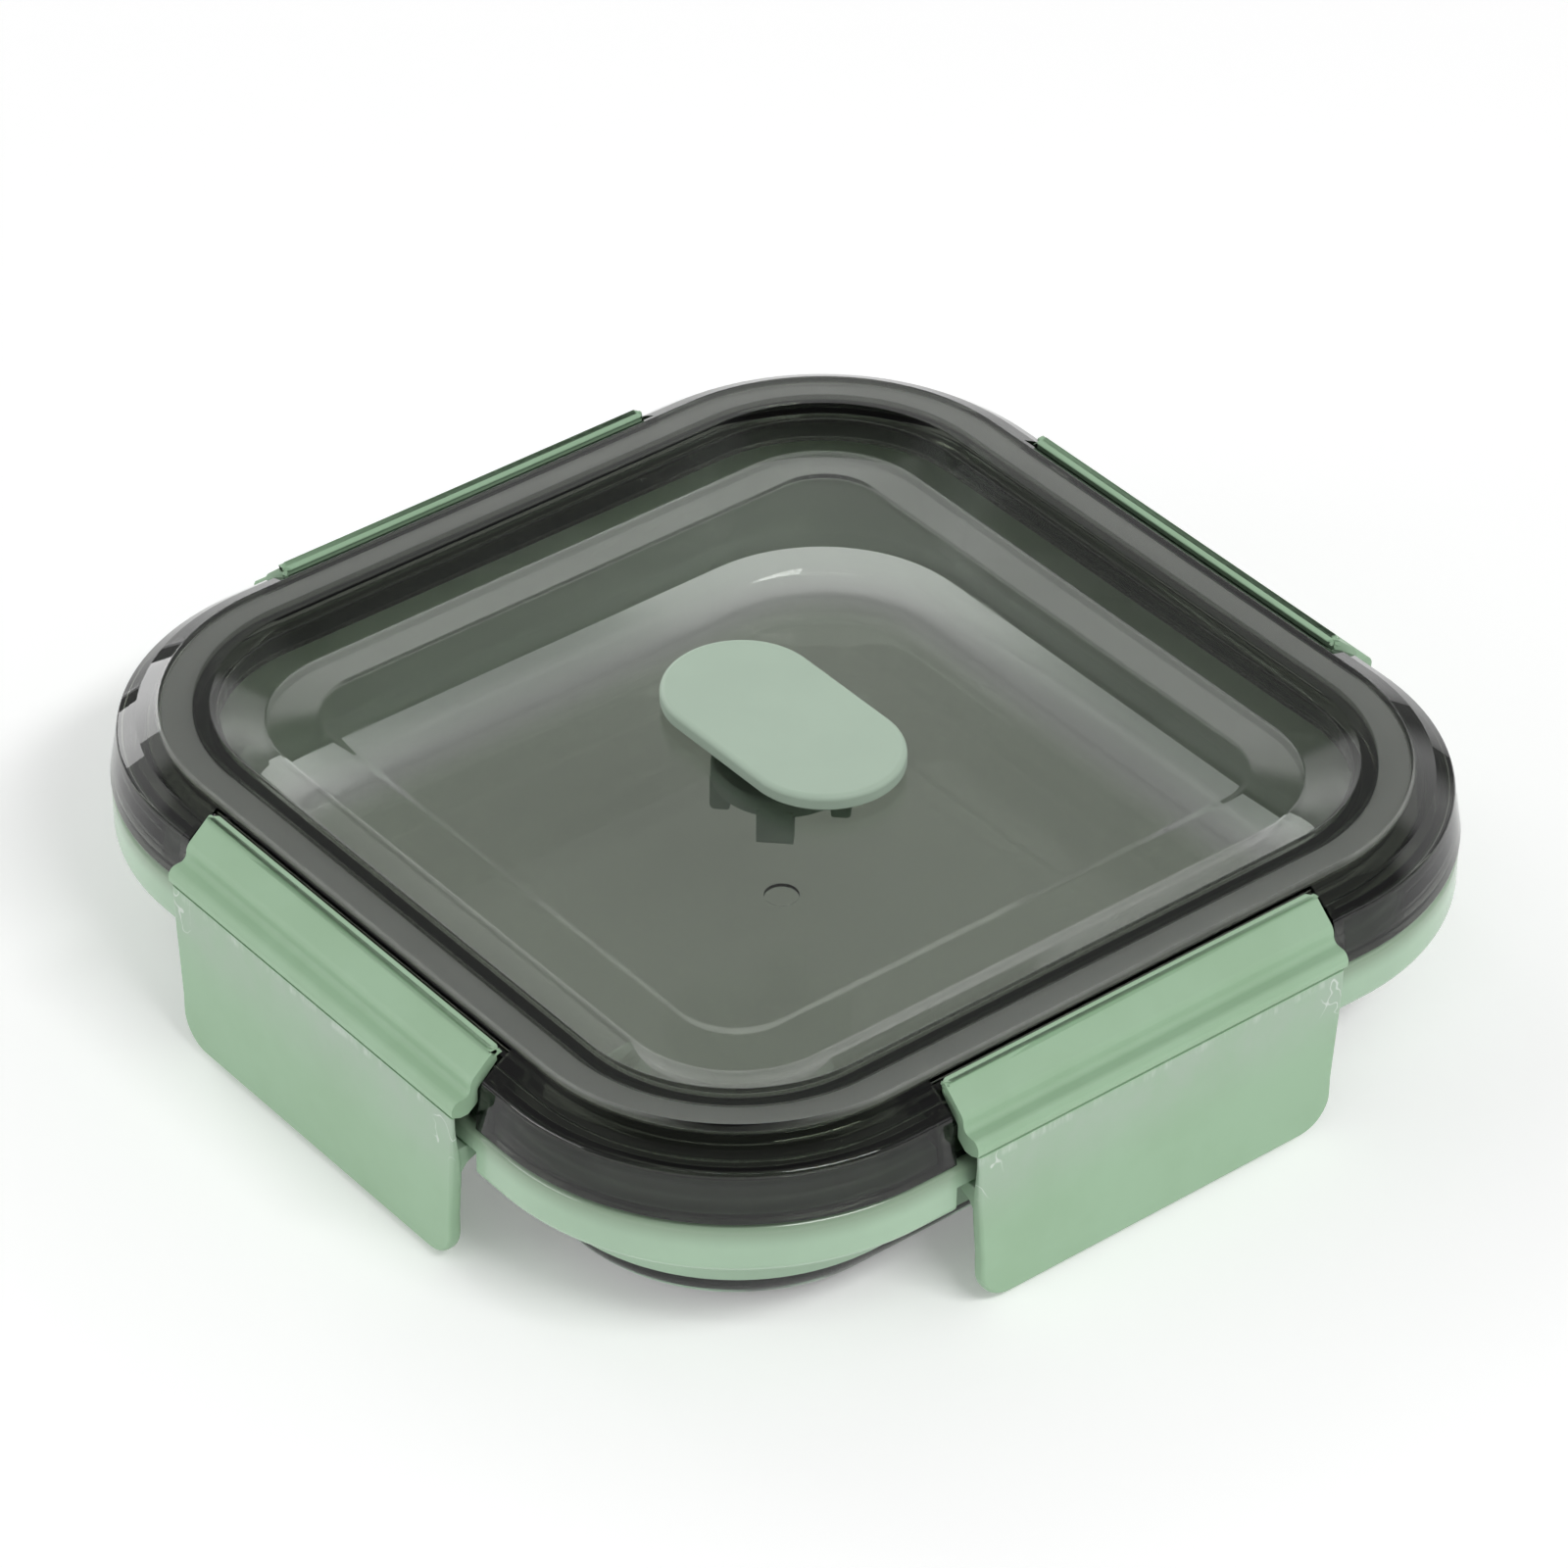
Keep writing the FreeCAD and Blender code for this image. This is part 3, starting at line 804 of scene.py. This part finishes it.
@dataclass
class Tray:
    """Pressed glass tray with a foot ring, rounded base and a round rim."""

    rim: float = 31.2
    floor: float = 4.9
    recess: float = 0.5
    core: float = 46.0
    dimple: float = 2.6
    dimple_depth: float = 0.45

    def mesh(self) -> bmesh.types.BMesh:
        """Swept wall closed by a floor with a small dimple in its middle."""
        wall = Section([
            Turn(self.core, self.recess), Turn(48.0, self.recess, 3.0), Turn(55.0, 0.0, 4.0),
            Turn(67.8, 0.0, 7.2, 14), Turn(71.7, self.rim, 1.75, 8), Turn(68.0, self.rim, 1.75, 8),
            Turn(62.2, self.floor, 6.0, 14), Turn(self.core, self.floor),
        ], closed=False)
        bm = wall.sweep()
        sunk = self.floor - self.dimple_depth
        dimple = stadium(0.0, self.dimple, sunk, self.floor, 40)
        top = [f for f in dimple.faces if f.normal.z > 0.9]
        bmesh.ops.delete(dimple, geom=top, context="FACES_ONLY")
        bmesh.ops.reverse_faces(dimple, faces=dimple.faces)
        ease(dimple, edges_at_height(dimple, sunk), 0.3, 3)
        join(bm, dimple)
        for height in (self.floor, self.recess):
            rims = [e for e in edges_at_height(bm, height) if e.is_boundary]
            bmesh.ops.triangle_fill(bm, use_beauty=True, edges=rims)
        bmesh.ops.recalc_face_normals(bm, faces=bm.faces)
        return bm

    def build(self) -> None:
        """Make the tray."""
        make_piece(self.mesh(), "glass_tray", CLEAR_GLASS, "container", 60.0)


@dataclass
class Sleeve:
    """Moulded sleeve on the glass, with a folded collar and four catch edges."""

    hem: float = 7.2
    collar: float = 79.5
    catch_half: float = 33.8

    def mesh(self) -> bmesh.types.BMesh:
        """Swept wall with a slot under the collar for each hook."""
        wall = Section([
            Turn(68.75, self.hem, 0.3), Turn(70.1, self.hem, 0.5), Turn(72.6, 16.4, 2.0),
            Turn(73.0, 21.8, 1.2), Turn(77.3, 21.8, 0.8), Turn(77.3, 16.4, 0.4),
            Turn(self.collar, 16.4, 1.6, 8), Turn(self.collar, 24.5, 1.2, 6),
            Turn(76.2, 24.5, 0.4), Turn(76.2, 27.0, 0.5), Turn(71.25, 27.0, 0.3),
        ]).sweep()
        catch = Section([Turn(77.0, 15.0), Turn(82.0, 15.0), Turn(82.0, 21.0), Turn(77.0, 21.0)])
        return carve(wall, all_sides(lambda: catch.bar(self.catch_half)))

    def build(self) -> None:
        """Make the sleeve."""
        make_piece(self.mesh(), "sleeve", SAGE_PLASTIC, "container")


@dataclass
class Lid:
    """Smoky lid: panel, moat, ring over the seal, flange, skirt, latch pockets and a vent hole."""

    top: float = 36.4
    panel: float = 34.2
    under: float = 32.2
    core: float = 46.0
    hole: float = 6.85
    pocket_half: float = 34.0
    wall_half: float = 36.0

    def shell(self) -> bmesh.types.BMesh:
        """Swept ring, closed by a flat panel with a round hole."""
        ring = Section([
            Turn(self.core, self.panel), Turn(49.5, self.panel, 3.0), Turn(57.3, 33.0, 0.7),
            Turn(65.0, self.top, 0.5), Turn(72.3, self.top, 0.45), Turn(75.6, 34.6, 0.35),
            Turn(78.4, 32.5, 0.8), Turn(79.7, 24.9, 0.4), Turn(77.0, 24.9, 0.4),
            Turn(77.0, 31.3, 0.5), Turn(75.1, 31.3, 0.4), Turn(75.1, 29.3, 0.3),
            Turn(72.3, 29.3, 0.3), Turn(72.3, 34.4, 0.3), Turn(67.2, 34.4, 0.3),
            Turn(67.2, 29.3, 0.3), Turn(65.0, 29.3, 0.4), Turn(65.0, 33.6, 0.6),
            Turn(57.3, 31.0, 1.0), Turn(49.5, self.under, 3.0), Turn(self.core, self.under),
        ], closed=False)
        bm = ring.sweep()
        hole = stadium(0.0, self.hole, self.under, self.panel, 64)
        caps = [f for f in hole.faces if abs(f.normal.z) > 0.9]
        bmesh.ops.delete(hole, geom=caps, context="FACES_ONLY")
        join(bm, hole)
        for height in (self.panel, self.under):
            rims = [e for e in edges_at_height(bm, height) if e.is_boundary]
            bmesh.ops.triangle_fill(bm, use_beauty=True, edges=rims)
        bmesh.ops.recalc_face_normals(bm, faces=bm.faces)
        return bm

    def end_walls(self) -> bmesh.types.BMesh:
        """Thin upright walls that close the skirt at the two ends of a pocket."""
        wall = Section([
            Turn(75.0, 27.6, 0.2), Turn(76.7, 27.6), Turn(76.7, 24.95, 0.2),
            Turn(79.4, 24.95, 0.2), Turn(78.3, 32.0, 0.5), Turn(75.0, 32.0, 0.2),
        ])
        middle = (self.pocket_half + self.wall_half) / 2.0
        pair = bmesh.new()
        for way in (-1, 1):
            one = wall.bar((self.wall_half - self.pocket_half) / 2.0, 0.2)
            bmesh.ops.translate(one, verts=one.verts, vec=(0, way * middle * MM, 0))
            join(pair, one)
        return pair

    def mesh(self) -> bmesh.types.BMesh:
        """Shell with a pocket for each latch and thin walls that close the pocket's ends."""
        pocket = Section([
            Turn(73.45, 40.0), Turn(73.45, 34.7, 0.3), Turn(74.5, 34.4, 0.5),
            Turn(78.0, 31.3, 0.5), Turn(78.3, 30.7, 0.3), Turn(78.3, 23.0), Turn(90.0, 23.0),
            Turn(90.0, 40.0),
        ])
        bm = carve(self.shell(), all_sides(lambda: pocket.bar(self.pocket_half)))
        join(bm, all_sides(self.end_walls))
        return bm

    def build(self) -> None:
        """Make the lid shell."""
        make_piece(self.mesh(), "lid_shell", SMOKE_PLASTIC, "lid")


@dataclass
class Seal:
    """Soft ring in the lid's channel."""

    low: float = 31.35
    high: float = 34.3

    def build(self) -> None:
        """Make the seal ring."""
        ring = Section([
            Turn(67.4, self.low, 0.6), Turn(72.1, self.low, 0.6), Turn(72.1, self.high, 0.3),
            Turn(67.4, self.high, 0.3),
        ])
        make_piece(ring.sweep(), "seal_ring", PALE_SILICONE, "lid")


@dataclass
class Vent:
    """Soft vent plug: rounded cap, boss, stem, round foot and four prongs."""

    cap_half: float = 9.3
    cap_round: float = 11.7
    boss_low: float = 34.35
    stem_round: float = 6.5
    foot_round: float = 10.2
    cap_low: float = 35.3
    cap_top: float = 37.7
    foot_low: float = 26.2
    foot_top: float = 29.3
    prong_low: float = 21.4

    def prong(self) -> bmesh.types.BMesh:
        """One upright tab with round lower corners."""
        tab = Section([
            Turn(7.2, self.prong_low, 0.5), Turn(10.1, self.prong_low, 0.8),
            Turn(10.1, self.foot_low + 1.0), Turn(7.2, self.foot_low + 1.0),
        ]).bar(2.6)
        lower = [e for e in tab.edges if abs(e.verts[0].co.y - e.verts[1].co.y) < NEAR * MM
                 and all(abs(v.co.z - self.prong_low * MM) < NEAR * MM for v in e.verts)]
        ease(tab, lower, 1.2, 5)
        bmesh.ops.rotate(tab, verts=tab.verts, cent=(0, 0, 0),
                         matrix=Matrix.Rotation(math.pi / 4, 3, "Z"))
        return tab

    def build(self) -> None:
        """Make the plug from its stacked shells."""
        whole = stadium(self.cap_half, self.cap_round, self.cap_low, self.cap_top, 96)
        ease(whole, edges_at_height(whole, self.cap_top), 0.85, 7)
        ease(whole, edges_at_height(whole, self.cap_low), 0.3, 3)
        boss = stadium(4.5, 8.5, self.boss_low, 35.5, 64)
        ease(boss, edges_at_height(boss, self.boss_low), 0.3, 3)
        join(whole, boss)
        join(whole, stadium(0.0, self.stem_round, self.foot_low, 34.5, 48))
        foot = stadium(0.0, self.foot_round, self.foot_low, self.foot_top, 64)
        ease(foot, edges_at_height(foot, self.foot_top), 0.8, 4)
        ease(foot, edges_at_height(foot, self.foot_low), 0.4, 3)
        join(whole, foot)
        join(whole, all_sides(self.prong))
        make_piece(whole, "vent_plug", SAGE_SILICONE, "vent")


@dataclass
class Latch:
    """One latch: a clip that lies in the lid's pocket and a flap that turns under its bead."""

    side: Side
    half: float = 33.0
    face: float = 82.55
    low: float = 1.0
    top: float = 27.35
    thick: float = 2.2
    thin: float = 0.8
    thick_below: float = 16.0
    thin_above: float = 26.35
    corner: float = 5.2
    hook_half: float = 31.5
    bottom_half: float = 31.5
    cuts: list[float] = field(default_factory=lambda: [8.0, 13.0, 16.0, 18.0, 20.0, 22.0, 24.0,
                                                       25.4, 26.4])

    def clip(self) -> bmesh.types.BMesh:
        """Bent strip with a groove and a round bead."""
        return Section([
            Turn(75.1, 36.4, 0.35, 3), Turn(79.5, 32.5, 2.0, 8), Turn(79.75, 30.3, 1.1, 9),
            Turn(82.2, 30.1, 1.1, 9), Turn(82.8, 29.0, 0.9, 7), Turn(82.72, 27.88, 0.2, 3),
            Turn(82.35, 27.70, 0.15, 3), Turn(81.35, 27.3, 0.3, 3), Turn(80.1, 27.3, 0.5, 3),
            Turn(78.45, 28.6, 0.8, 4), Turn(78.45, 30.8, 0.8, 4), Turn(75.1, 34.15, 0.3, 3),
        ]).bar(self.half, 0.25)

    def depth(self, height: float) -> float:
        """Thickness of the flap at a height, thin at the crease and full lower down."""
        rise = self.thin_above - self.thick_below
        share = min(max((height - self.thick_below) / rise, 0.0), 1.0)
        smooth = share * share * (3 - 2 * share)
        return self.thick + (self.thin - self.thick) * smooth

    def plate(self) -> bmesh.types.BMesh:
        """Flap plate: round lower corners, eased rims, thinner towards the crease."""
        bm = bmesh.new()
        outline = ((32.6, self.top), (32.4, 20.0), (self.bottom_half, 9.0),
                   (self.bottom_half, self.low))
        points = [(y, z) for y, z in outline] + [(-y, z) for y, z in reversed(outline)]
        verts = [bm.verts.new((self.face * MM, y * MM, z * MM)) for y, z in points]
        bm.faces.new(verts)
        corners = [v for v in bm.verts if v.co.z < (self.low + NEAR) * MM]
        bmesh.ops.bevel(bm, geom=corners, offset=self.corner * MM, offset_type="OFFSET",
                        segments=10, profile=0.5, affect="VERTICES", material=-1)
        body = bmesh.ops.extrude_face_region(bm, geom=bm.faces[:])["geom"]
        moved = [part for part in body if isinstance(part, bmesh.types.BMVert)]
        bmesh.ops.translate(bm, verts=moved, vec=(-self.thick * MM, 0, 0))
        bmesh.ops.recalc_face_normals(bm, faces=bm.faces)
        for out, width in ((self.face, 0.55), (self.face - self.thick, 0.9)):
            rim = [e for e in bm.edges if all(abs(v.co.x - out * MM) < NEAR * MM for v in e.verts)
                   and e.calc_face_angle(0.0) > 0.5 and min(v.co.z for v in e.verts) < 27.0 * MM]
            ease(bm, rim, width, 4)
        for height in self.cuts:
            bmesh.ops.bisect_plane(bm, geom=bm.verts[:] + bm.edges[:] + bm.faces[:],
                                   plane_co=(0, 0, height * MM), plane_no=(0, 0, 1))
        for vert in bm.verts:
            inward = self.face * MM - vert.co.x
            vert.co.x = self.face * MM - inward * self.depth(vert.co.z / MM) / self.thick
        top = [e for e in edges_at_height(bm, self.top) if abs(e.verts[0].co.y - e.verts[1].co.y)
               > 20 * MM]
        ease(bm, top, 0.35, 4)
        return bm

    def hook(self) -> bmesh.types.BMesh:
        """Long hook on the flap's inner face with a curved root."""
        return Section([
            Turn(81.3, 20.4), Turn(77.5, 20.4, 0.4), Turn(77.5, 18.3, 0.5), Turn(79.2, 17.6, 1.5),
            Turn(80.3, 16.2, 1.5), Turn(80.9, 13.8),
        ]).bar(self.hook_half, 0.3)

    def build(self) -> None:
        """Make the clip and the flap and put both on their side."""
        flap = self.plate()
        join(flap, self.hook())
        turning = f"{self.side.word}_flap"
        for bm, kind, body in ((self.clip(), "clip", "lid"), (flap, "flap", turning)):
            bmesh.ops.rotate(bm, verts=bm.verts, cent=(0, 0, 0), matrix=self.side.turn())
            node = f"{self.side.word}_latch_{kind}"
            make_piece(bm, node, MATTE_SAGE, body, 40.0)


# --- studio ---


@dataclass
class Softbox:
    """Large soft lamp that looks at the middle of the container."""

    name: str
    azimuth: float
    elevation: float
    distance: float
    size: tuple[float, float]
    power: float

    def build(self) -> None:
        """Hang the lamp."""
        lamp = bpy.data.lights.new(self.name, "AREA")
        lamp.shape = "RECTANGLE"
        lamp.size, lamp.size_y = self.size
        lamp.energy = self.power
        shape = bpy.data.objects.new(self.name, lamp)
        around, above = math.radians(self.azimuth), math.radians(self.elevation)
        out = Vector((math.cos(around) * math.cos(above), math.sin(around) * math.cos(above),
                      math.sin(above)))
        shape.location = out * self.distance
        shape.rotation_euler = out.to_track_quat("Z", "Y").to_euler()
        bpy.context.scene.collection.objects.link(shape)


@dataclass
class Studio:
    """Pale floor, soft surrounding light and the camera."""

    azimuth: float = 0.892014
    elevation: float = 0.643312
    roll: float = 0.006549
    distance: float = 1011.53
    slide: tuple[float, float] = (0.2361, -8.525)
    aim_height: float = 36.4
    focal: float = 164.565
    floor_half: float = 4.0
    floor_drop: float = 0.00006
    low_glow: float = 0.3
    glow_bands: tuple[tuple[float, float, float], ...] = (
        (0.07, 0.26, 1.7), (0.52, 0.61, 0.42), (0.80, 0.93, 0.12))
    near_dim: float = 0.4
    near_span: tuple[float, float] = (0.15, 0.75)
    backdrop: float = 1.0
    lamps: list[Softbox] = field(default_factory=lambda: [
        Softbox("right_softbox", 2.0, 50.0, 1.6, (0.8, 0.22), 10.5),
        Softbox("left_softbox", 180.0, 15.0, 1.6, (0.9, 0.6), 6.0),
        Softbox("front_softbox", -110.0, 13.0, 1.8, (1.0, 0.3), 5.0),
        Softbox("near_strip", -42.0, 60.0, 1.6, (1.1, 0.07), 1.5),
    ])

    def floor(self) -> None:
        """Lay the floor."""
        bm = bmesh.new()
        bmesh.ops.create_grid(bm, x_segments=1, y_segments=1, size=self.floor_half)
        bmesh.ops.translate(bm, verts=bm.verts, vec=(0, 0, -self.floor_drop))
        mesh = bpy.data.meshes.new("floor")
        bm.to_mesh(mesh)
        bm.free()
        mesh.materials.append(WHITE_PAPER.material())
        floor = bpy.data.objects.new("floor", mesh)
        bpy.context.scene.collection.objects.link(floor)

    def fade(self, tree: bpy.types.NodeTree, value: bpy.types.NodeSocket,
             span: tuple[float, float], levels: tuple[Any, float]) -> bpy.types.NodeSocket:
        """Add a smooth change of light level.

        Args:
            tree: the surround's nodes.
            value: what the change follows.
            span: the values where it starts and ends.
            levels: the light before, a number or a socket, and the number after.

        Returns:
            Socket that holds the light level.
        """
        step = tree.nodes.new("ShaderNodeMapRange")
        step.interpolation_type = "SMOOTHSTEP"
        step.inputs["From Min"].default_value, step.inputs["From Max"].default_value = span
        step.inputs["To Max"].default_value = levels[1]
        if isinstance(levels[0], float):
            step.inputs["To Min"].default_value = levels[0]
        else:
            tree.links.new(levels[0], step.inputs["To Min"])
        tree.links.new(value, step.inputs["Value"])
        return step.outputs[0]

    def surround(self) -> None:
        """Even light from all round, dimmer overhead, at floor level and on the near side."""
        world = bpy.data.worlds.new("surround")
        bpy.context.scene.world = world
        world.use_nodes = True
        tree = world.node_tree
        tree.nodes.clear()
        where = tree.nodes.new("ShaderNodeTexCoord")
        split = tree.nodes.new("ShaderNodeSeparateXYZ")
        tree.links.new(where.outputs["Generated"], split.inputs[0])
        level: Any = self.low_glow
        for start, end, glow in self.glow_bands:
            level = self.fade(tree, split.outputs["Z"], (start, end), (level, glow))
        facing = tree.nodes.new("ShaderNodeVectorMath")
        facing.operation = "DOT_PRODUCT"
        tree.links.new(where.outputs["Generated"], facing.inputs[0])
        facing.inputs[1].default_value = (math.sin(self.azimuth), -math.cos(self.azimuth), 0.0)
        level = self.fade(tree, facing.outputs["Value"], self.near_span, (level, self.near_dim))
        seen = tree.nodes.new("ShaderNodeLightPath").outputs["Is Camera Ray"]
        level = self.fade(tree, seen, (0.0, 1.0), (level, self.backdrop))
        light = tree.nodes.new("ShaderNodeBackground")
        output = tree.nodes.new("ShaderNodeOutputWorld")
        tree.links.new(level, light.inputs["Strength"])
        tree.links.new(light.outputs[0], output.inputs["Surface"])

    def camera(self) -> None:
        """Set up the camera."""
        across, above = self.azimuth, self.elevation
        back = Vector((math.sin(across) * math.cos(above), -math.cos(across) * math.cos(above),
                       math.sin(above)))
        right = Vector((math.cos(across), math.sin(across), 0))
        up = back.cross(right)
        level = math.cos(self.roll) * right + math.sin(self.roll) * up
        upright = -math.sin(self.roll) * right + math.cos(self.roll) * up
        spot = back * self.distance + right * self.slide[0] + up * self.slide[1]
        lens = bpy.data.cameras.new("camera")
        lens.lens = self.focal
        lens.sensor_width = 36.0
        lens.clip_start = 0.01
        lens.clip_end = 50.0
        camera = bpy.data.objects.new("camera", lens)
        camera.matrix_world = Matrix.Translation((spot + Vector((0, 0, self.aim_height))) * MM) @ \
            Matrix((level, upright, back)).transposed().to_4x4()
        bpy.context.scene.collection.objects.link(camera)
        bpy.context.scene.camera = camera

    def build(self) -> None:
        """Set the floor, lights and camera."""
        self.floor()
        self.surround()
        for lamp in self.lamps:
            lamp.build()
        self.camera()
        bpy.context.scene.view_settings.view_transform = "Standard"


def main() -> None:
    """Build every sub-assembly and the studio."""
    logging.basicConfig(level=logging.INFO, format="%(message)s")
    for part in (Tray(), Sleeve(), Lid(), Seal(), Vent()):
        part.build()
        log.info("built %s", type(part).__name__)
    for side in Side:
        Latch(side).build()
        log.info("built latch %s", side.word)
    Studio().build()


if __name__ == "__main__":
    main()
